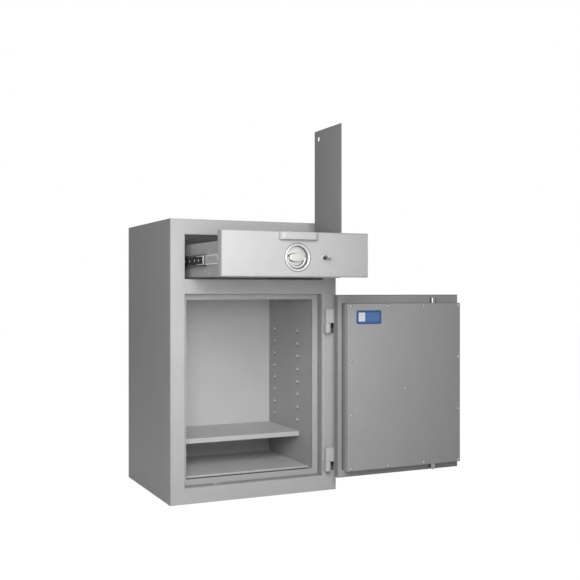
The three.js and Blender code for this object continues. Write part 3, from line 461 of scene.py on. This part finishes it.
def piece(name, maker, coat, body, slot, *nodes):
    """Takes a bmesh that stands in the part's frame and makes it a piece that rides."""
    bmesh.ops.recalc_face_normals(maker, faces=maker.faces)
    for face in maker.faces:
        face.smooth = True
    limit = math.radians(CREASE_ABOVE)
    for edge in maker.edges:
        edge.smooth = not (edge.is_manifold and edge.calc_face_angle(0.0) > limit)
    mesh = bpy.data.meshes.new(name)
    maker.to_mesh(mesh)
    maker.free()
    mesh.materials.append(coat)
    made = bpy.data.objects.new(name, mesh)
    bpy.context.scene.collection.objects.link(made)
    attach(made, body)
    if nodes:
        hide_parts(*nodes)


def add(maker, shape, matrix):
    """Puts a finished shape into the piece, in the part's frame."""
    bmesh.ops.transform(shape, matrix=matrix, verts=shape.verts)
    mesh = bpy.data.meshes.new("shape")
    shape.to_mesh(mesh)
    shape.free()
    maker.from_mesh(mesh)
    bpy.data.meshes.remove(mesh)


def run_of(shape, points, closed=True):
    """Vertices at the points, and the edges that join them."""
    verts = [shape.verts.new(point) for point in points]
    after = verts[1:] + (verts[:1] if closed else [])
    return verts + [shape.edges.new(pair) for pair in zip(verts, after)]


def spun(shape, run, turn, steps):
    """Spins a run of edges round local Z and closes a full turn."""
    whole = turn == 360
    bmesh.ops.spin(shape, geom=run, cent=(0, 0, 0), axis=(0, 0, 1), dvec=(0, 0, 0),
                   angle=math.radians(turn), steps=steps, use_merge=whole)


def lathe(maker, profile, matrix, steps=64):
    """Spins (radius, height) points round local Z; one that starts on the axis ends there."""
    shape = bmesh.new()
    hollow = profile[0][0] > 0
    spun(shape, run_of(shape, [(r, 0, z) for r, z in profile], hollow), 360, steps)
    bmesh.ops.remove_doubles(shape, verts=shape.verts, dist=0.00001)
    add(maker, shape, matrix)


def raised(points, levels):
    """An outline extruded level by level; a level is the outline's size and its height."""
    shape = bmesh.new()
    before, low = levels[0]
    top = shape.faces.new([shape.verts.new((x * before, y * before, low)) for x, y in points])
    for size, height in levels[1:]:
        grown = bmesh.ops.extrude_face_region(shape, geom=[top])["geom"]
        top = next(item for item in grown if isinstance(item, bmesh.types.BMFace))
        bmesh.ops.scale(shape, vec=(size / before, size / before, 1), verts=top.verts)
        bmesh.ops.translate(shape, vec=(0, 0, height - low), verts=top.verts)
        before, low = size, height
    return shape, top


def bevelled(shape, edges, width, steps):
    """Rounds the edges, with the settings that the operator doesn't start from."""
    bmesh.ops.bevel(shape, geom=edges, offset=width, segments=steps, profile=0.5,
                    affect="EDGES", material=-1)


def slab(maker, points, low, high, matrix, edge=0.0, steps=3):
    """An outline pushed up local Z; an edge width rounds its upper rim."""
    shape, top = raised(points, [(1, low), (1, high)])
    if edge:
        bevelled(shape, list(top.edges), edge, steps)
    add(maker, shape, matrix)


def washer(maker, outer, inner, thickness, matrix, edge=0.0):
    """A flat ring between two outlines that have as many points."""
    shape = bmesh.new()
    for points in (outer, inner):
        run_of(shape, [(x, y, 0) for x, y in points])
    bmesh.ops.bridge_loops(shape, edges=shape.edges)
    bmesh.ops.recalc_face_normals(shape, faces=shape.faces)
    bmesh.ops.solidify(shape, geom=shape.faces, thickness=thickness)
    if edge:
        sharp = [e for e in shape.edges if e.calc_face_angle(0) > 1]
        bevelled(shape, sharp, edge, 2)
    middle = sum(v.co.z for v in shape.verts) / len(shape.verts)
    add(maker, shape, matrix @ moved(0, 0, -middle))


def arc(centre, radius, start, end, steps):
    """Points on part of a circle, angles in degrees."""
    turn = [math.radians(start + (end - start) * k / steps) for k in range(steps + 1)]
    return [(centre[0] + radius * math.cos(a), centre[1] + radius * math.sin(a)) for a in turn]


def rounded(width, height, radius, steps=6):
    """A rectangle round the origin, with rounded corners."""
    a, b = width / 2 - radius, height / 2 - radius
    return (arc((a, b), radius, 0, 90, steps) + arc((-a, b), radius, 90, 180, steps)
            + arc((-a, -b), radius, 180, 270, steps) + arc((a, -b), radius, 270, 360, steps))


# Round handles with a folding bail: heights are measured from the panel's face

HANDLES = (  # body, panel's body, prefix of the nodes, place, end of the spindle
    ("drawer", "drawer", "", on(DRAWER_HANDLE, FRONT), -40.3),
    ("door", "vault_door", "door_", on(DOOR_HANDLE, BACK), -54),
)
ROUND_STEPS = 96
BAIL_RADIUS = 31.5
BAIL_HEIGHT = -9
DISC_FACE = -12.8
SHADE_BASE = -13.5


def bowl(name, at, body, node):
    """A recessed bowl with a rounded rim proud of the panel, and painted shade on its wall and
    round its rim.
    """
    maker = bmesh.new()
    rim = [(45.9, 0.9), (45.4, 1.8), (44.5, 2.5), (43.3, 2.9), (42.0, 3.0), (40.8, 2.8),
           (39.7, 2.2), (38.9, 1.3), (38.5, 0.2)]
    lathe(maker, [(6.3, -24), (41.7, -24), (41.7, 0), (46, 0)] + rim
          + [(38.5, -18), (38.2, -19.2), (37.4, -20), (6.3, -20)], at, ROUND_STEPS)
    piece(name, maker, RIM, body, "satin_metal", node)
    # Painted shade: a near-black sheet on the bowl's inner wall and a dark ring round its rim
    wall_shade = bmesh.new()
    lathe(wall_shade, [(38.6, -19), (38.6, -5.6), (38.15, -5.9), (38.05, -6.5), (38.05, -15.4),
                   (38.3, -15.5), (38.3, -19)], at, ROUND_STEPS)
    lathe(wall_shade, [(45.5, -0.3), (47.4, -0.3), (47.4, 0.3), (46.9, 0.6), (45.5, 0.6)], at,
          ROUND_STEPS)
    piece(f"{name}_lining", wall_shade, DEEP_SHADE, body, "satin_metal")


def lens(half_width, half_height, half_end):
    """A lens outline with blunt ends."""
    rise = half_height - half_end
    radius = (half_width ** 2 + rise ** 2) / (2 * rise)
    drop = radius - half_height
    spread = math.degrees(math.atan2(half_width, radius - rise))
    return (arc((0, -drop), radius, 90 - spread, 90 + spread, 24)
            + arc((0, drop), radius, 270 - spread, 270 + spread, 24))


def rotor(name, at, body, node, spindle_end):
    """The disc in the bowl, its lens grip, the bail's pins and the spindle behind."""
    maker = bmesh.new()
    lathe(maker, [(0, -19.7), (37.6, -19.7), (38, -19.3), (38, DISC_FACE - 0.4),
                  (37.7, DISC_FACE - 0.1), (37.3, DISC_FACE), (0, DISC_FACE)], at, ROUND_STEPS)
    lathe(maker, [(0, spindle_end), (5.5, spindle_end), (6, spindle_end + 0.5), (6, -19),
                  (0, -19)], at, 32)
    crown = [(1, -14), (1, -3.7), (0.99, -3.35), (0.97, -3.1), (0.93, -2.9), (0.8, -2.4),
             (0.6, -1.85), (0.4, -1.48), (0.2, -1.27), (0.05, -1.2)]
    add(maker, raised(lens(26.6, 14, 7), crown)[0], at)
    lathe(maker, [(0, -34.7), (1.4, -34.7), (1.6, -34.5), (1.6, 34.5), (1.4, 34.7), (0, 34.7)],
          at @ moved(0, 0, BAIL_HEIGHT) @ ALONG_X, 16)
    piece(name, maker, SATIN, body, "satin_metal", node)


def disc_shades(name, at, body):
    """Painted shade on the disc: dark sheets under the bail and its eyes and round the grip."""
    maker = bmesh.new()
    for side in (-1, 1):
        slab(maker, rounded(11, 15, 2, 3), SHADE_BASE, DISC_FACE + 0.1,
             at @ moved(side * 30.8, -2.5))
    bail_shadow = arc((0, 0), 36.6, 180, 360, 48) + arc((0, 0), 26, 360, 180, 48)
    slab(maker, bail_shadow, SHADE_BASE, DISC_FACE + 0.12, at)
    slab(maker, lens(28.3, 15, 8.5), SHADE_BASE, DISC_FACE + 0.08, at)
    slab(maker, lens(26.9, 14.3, 7.2), SHADE_BASE, -6.5, at)
    piece(name, maker, DEEP_SHADE, body, "satin_metal")


def bail(name, at, body, node):
    """A half-round bail with an eye at each end."""
    maker = bmesh.new()
    shape = bmesh.new()
    section = [(BAIL_RADIUS + x, 0, BAIL_HEIGHT + z) for x, z in rounded(7, 6, 1.8, 4)]
    spun(shape, run_of(shape, section), 171, 60)
    bmesh.ops.holes_fill(shape, edges=shape.edges)
    add(maker, shape, at @ turned(184.5))
    eye = [(1.9, -3.5), (2.6, -3.5), (3, -3.1), (3, 3.1), (2.6, 3.5), (1.9, 3.5)]
    for side in (-1, 1):
        lathe(maker, eye, at @ moved(side * BAIL_RADIUS, 0, BAIL_HEIGHT) @ ALONG_X, 24)
    piece(name, maker, RIM, body, "satin_metal", node)


def handles():
    for body, panel, prefix, at, spindle_end in HANDLES:
        bowl(f"{body}_bowl", at, panel, f"{prefix}handle_bowl")
        rotor(f"{body}_rotor", at, f"{body}_handle", f"{prefix}handle_rotor", spindle_end)
        disc_shades(f"{body}_rotor_wells", at, f"{body}_handle")
        bail(f"{body}_bail_ring", at, f"{body}_bail", f"{prefix}handle_bail")


# Key

BOW_TILT = 38
BOW_MIDDLE = 29.2
RING_HOLE_MIDDLE = 25.95


def key():
    """The key in the drawer's lock: its stem with a collar, and a ring-shaped bow, tilted."""
    at = on(KEY, FRONT)
    shaft = bmesh.new()
    lathe(shaft, [(0, -45.3), (2.4, -45.3), (2.8, -44.9), (2.8, 21.2), (0, 21.2)], at, 32)
    lathe(shaft, [(2.5, 1.5), (5.4, 1.5), (6, 2.1), (6, 10.4), (5.4, 11.3), (4, 11.5),
                  (2.5, 11.5)], at, 32)
    bit = [(-1.2, -8.2), (1.2, -8.2), (1.2, 8.2), (-1.2, 8.2)]
    slab(shaft, bit, -43.3, -37.3, at, 0.2, 2)
    piece("key_shaft", shaft, STEM, "drawer_key", "bright_steel", "key")
    bow = bmesh.new()
    outer = arc((0, BOW_MIDDLE), 13, 0, 360, 48)[:-1]
    inner = arc((0, RING_HOLE_MIDDLE), 5, 0, 360, 48)[:-1]
    washer(bow, outer, inner, 2.6, at @ turned(-BOW_TILT) @ UPRIGHT, 0.5)
    piece("key_bow", bow, BOW, "drawer_key", "bright_steel", "key")


# Ball slides: local X points up or down the member, local Y along it

CAGE_BALLS = (-438, -393, -354, -300, -255, -210, -165, -120, -75)
CAGE_RAILS = (-13.6, 13.6)


def slide_details():
    """The ball cage, latch and web of each slide, the tray's rivets, and painted shade at the
    member's end, under the latch and on the web.
    """
    for side, sign, out in (("left", -1, LEFT), ("right", 1, RIGHT)):
        at = on((sign * SLIDE_FACE_X, 0.0, SLIDE_HEIGHT), out)
        plate = bmesh.new()
        slab(plate, rounded(26, 414, 2, 3), 0, 0.7, at @ moved(0, -232), 0.2, 2)
        piece(f"{side}_cage_plate", plate, CAGE, f"{side}_middle", "zinc_plate")
        balls = bmesh.new()
        for y in CAGE_BALLS:
            lathe(balls, [(0, 0.4), (3.8, 0.4), (3.8, 0.9), (3.3, 1.1), (2, 1.2), (0, 1.2)],
                  at @ moved(0, y), 24)
        slab(balls, rounded(30, 3.2, 0.6, 2), 0, 1.1, at @ moved(0, -439.5), 0.3, 2)
        for rail in CAGE_RAILS:
            slab(balls, rounded(1.8, 64, 0.6, 2), 0, 1.0, at @ moved(rail, -408), 0.2, 2)
        piece(f"{side}_cage_balls", balls, BALLS, f"{side}_middle", "zinc_plate")
        # Painted shade: a dark sheet at the middle member's end
        end_shade = bmesh.new()
        end = on((sign * SLIDE_END_SHADE[0], SLIDE_END_SHADE[1], SLIDE_HEIGHT), FRONT)
        slab(end_shade, rounded(2.6, 33, 0.8, 2), 0, 1.2, end, 0.3, 2)
        piece(f"{side}_slide_end_shade", end_shade, DEEP_SHADE, f"{side}_middle", "zinc_plate")
        latch = bmesh.new()
        web = on((sign * SLIDE_WEB_X, 0.0, SLIDE_HEIGHT), out)
        slab(latch, rounded(20, 6, 1.5, 3), 0, 2.6, web @ moved(-sign * 4, -573), 0.5, 2)
        piece(f"{side}_slide_latch", latch, BALLS, "drawer", "zinc_plate")
        # Painted shadow: a dark sheet under the latch
        slot = bmesh.new()
        slab(slot, rounded(24, 4, 1, 2), 0, 0.4, web @ moved(0, -580))
        piece(f"{side}_slide_latch_shadow", slot, DEEP_SHADE, "drawer", "zinc_plate")
        # Painted shade: the web between the flanges in a darker zinc
        web_shade_sheet = bmesh.new()
        slab(web_shade_sheet, rounded(26, 412, 1, 2), -0.2, 0.12, web @ moved(0, -379))
        piece(f"{side}_slide_web_shade", web_shade_sheet, WEB_SHADE, "drawer", "zinc_plate")
        rivets = bmesh.new()
        for y, z in TRAY_RIVETS:
            lathe(rivets, [(0, -0.5), (3.2, -0.5), (3.2, 0), (2.9, 0.6), (2, 1), (0, 1.2)],
                  on((sign * TRAY_SIDE_X, y, z), out), 20)
        piece(f"{side}_tray_rivets", rivets, INNER, "drawer", "inner_paint")


# Pressed domes, screws and the blank plate

CAP_RADIUS = 6.6
CAP_HEIGHT = 5.2


def dome_highlights():
    """A painted highlight on each pressed dome, a cap in a lighter paint, and a painted shadow
    under it.
    """
    turn = [math.radians(15 * step) for step in range(6)]
    cap = [(0, -0.2), (CAP_RADIUS, -0.2)]
    cap += [(CAP_RADIUS * math.cos(a), CAP_HEIGHT * math.sin(a)) for a in turn]
    cap += [(0, CAP_HEIGHT)]
    for side, sign, inward, down in (("left", -1, RIGHT, 15), ("right", 1, LEFT, 165)):
        highlights, shadows = bmesh.new(), bmesh.new()
        shadow_outline = (arc((0, 0), 10.5, down - 75, down + 75, 12)
                  + arc((0, 0), 6.2, down + 75, down - 75, 12))
        for y in DOME_COLUMNS:
            for row in range(DOME_ROWS):
                at = on((sign * LINER_X, y, FIRST_DOME + DOME_PITCH * row), inward)
                lathe(highlights, cap, at, 24)
                slab(shadows, shadow_outline, -0.2, 0.15, at)
        piece(f"{side}_dome_highlights", highlights, DOME_HIGHLIGHT, "cabinet", "inner_paint")
        piece(f"{side}_dome_shadows", shadows, SOFT_SHADE, "cabinet", "inner_paint")


COVER_SCREWS = (
    (0.324, 0.097), (0.324, 0.6915), (0.481, 0.097), (0.481, 0.6915),
    (0.6395, 0.097), (0.6395, 0.6915), (0.797, 0.097), (0.797, 0.6915),
    (0.324, 0.2925), (0.324, 0.4905), (0.797, 0.2925), (0.797, 0.493), (0.554, 0.381),
)


def cover_screws():
    """Raised screws round the door's cover and at its middle, each with a cross slot and a ring
    in painted shade.
    """
    for number, (x, z) in enumerate(COVER_SCREWS, 1):
        at = on((x, COVER_FACE, z), FRONT)
        head = bmesh.new()
        lathe(head, [(0, -0.6), (4.8, -0.6), (4.8, 0.2), (4.4, 0.8), (3.4, 1.3), (1.6, 1.6),
                     (0, 1.65)], at, 24)
        piece(f"cover_screw_{number:02d}", head, RIM, "vault_door", "bright_steel")
        # Painted shade: the dark cross slot and a ring round the head
        screw_shade = bmesh.new()
        lathe(screw_shade, [(4.6, -0.3), (6, -0.3), (6, 0.1), (4.6, 0.1)], at, 24)
        turn = 20 + 37 * number
        for angle in (turn, turn + 90):
            slab(screw_shade, rounded(3.6, 0.8, 0.2, 2), 1.2, 1.75, at @ turned(angle))
        piece(f"cover_screw_shade_{number:02d}", screw_shade, DEEP_SHADE, "vault_door", "bright_steel")


def blank_plate():
    """A blue plate with a pale field, a mid-blue field and a thin line, all blank."""
    at = on(PLATE, FRONT)
    base = bmesh.new()
    slab(base, rounded(105.4, 50.9, 7), 0, 0.7, at, 0.2, 2)
    piece("plate_base", base, BLUE, "vault_door", "blue_plate", "blank_plate")
    for part, outline, height, place, coat in (
            ("field", rounded(56, 33, 3), 0.75, moved(17, 1), MID_BLUE),
            ("pale_field", rounded(28, 33, 2), 0.78, moved(-30, 1), PALE),
            ("line", rounded(92, 1.2, 0.4, 2), 0.78, moved(0, -20), MID_BLUE)):
        maker = bmesh.new()
        slab(maker, outline, 0.5, height, at @ place)
        piece(f"plate_{part}", maker, coat, "vault_door", "blue_plate")


# Painted shade: dark sheets and lines in gaps and on returns

def shade_strip(maker, length, place, facing):
    slab(maker, rounded(length * 1000, 31, 2, 2), -0.3, 0.5, on(place, facing))


def frame_shades():
    """Painted shade on the returns round the vault's rebate, open at the bolt sockets, and a
    painted shadow line at the floor.
    """
    rebate_shade = bmesh.new()
    low, high = SIDE_SHADE_ENDS
    stops = [low] + [end for socket in SIDE_SOCKETS for end in socket] + [high]
    runs = [(REBATE_X, low, high, LEFT)]
    runs += [(-REBATE_X, start, end, RIGHT) for start, end in zip(stops[::2], stops[1::2])]
    for x, start, end, inward in runs:
        shade_strip(rebate_shade, end - start, (x, REBATE_Y, (start + end) / 2), inward)
    for z, inward in ((REBATE_LOW, UP), (REBATE_HIGH, DOWN)):
        for start, end in END_SHADES:
            shade_strip(rebate_shade, end - start, ((start + end) / 2, REBATE_Y, z), inward)
    piece("frame_return_shade", rebate_shade, RETURN_SHADE, "cabinet", "body_paint")
    edge_shadow = bmesh.new()
    slab(edge_shadow, rounded(526, 7.5, 1, 2), 0, 1, on(FLOOR_EDGE, FRONT))
    piece("floor_edge_shadow", edge_shadow, SHADOW_LINE, "cabinet", "inner_paint")


def door_box_shadow():
    """A painted shadow line: a thin dark strip round the foot of the bolt box, on the door's
    inner plate.
    """
    maker = bmesh.new()
    washer(maker, rounded(496, 615, 4), rounded(489.4, 608.4, 1), 1.6, on(BOLT_BOX_FOOT, FRONT))
    piece("door_box_shadow", maker, SHADOW_LINE, "vault_door", "zinc_plate")


def hinge_shades():
    """Painted shade beside each fixed knuckle of the hinges, where the door's leaf shades the
    frame, darkest under the leaf.
    """
    leaf_shade, deep_leaf_shade = bmesh.new(), bmesh.new()
    for joint in HINGE_JOINTS:
        at = on((HINGE_SHADE_X, CABINET_FRONT, joint), FRONT)
        slab(leaf_shade, rounded(16, 38, 1, 2), -0.3, 0.2, at @ moved(0, -19.5))
        slab(deep_leaf_shade, rounded(15, 19, 1, 2), -0.3, 0.3, at @ moved(0, -10))
    piece("hinge_leaf_shade", leaf_shade, SOFT_SHADE, "cabinet", "body_paint")
    piece("hinge_leaf_deep_shade", deep_leaf_shade, DEEP_SHADE, "cabinet", "body_paint")


dress_nodes()
floor()
world()
for light in SOFTBOXES:
    softbox(*light)
camera()
handles()
key()
slide_details()
dome_highlights()
cover_screws()
blank_plate()
door_box_shadow()
frame_shades()
hinge_shades()

bpy.context.scene.view_settings.view_transform = "Standard"
bpy.context.view_layer.update()
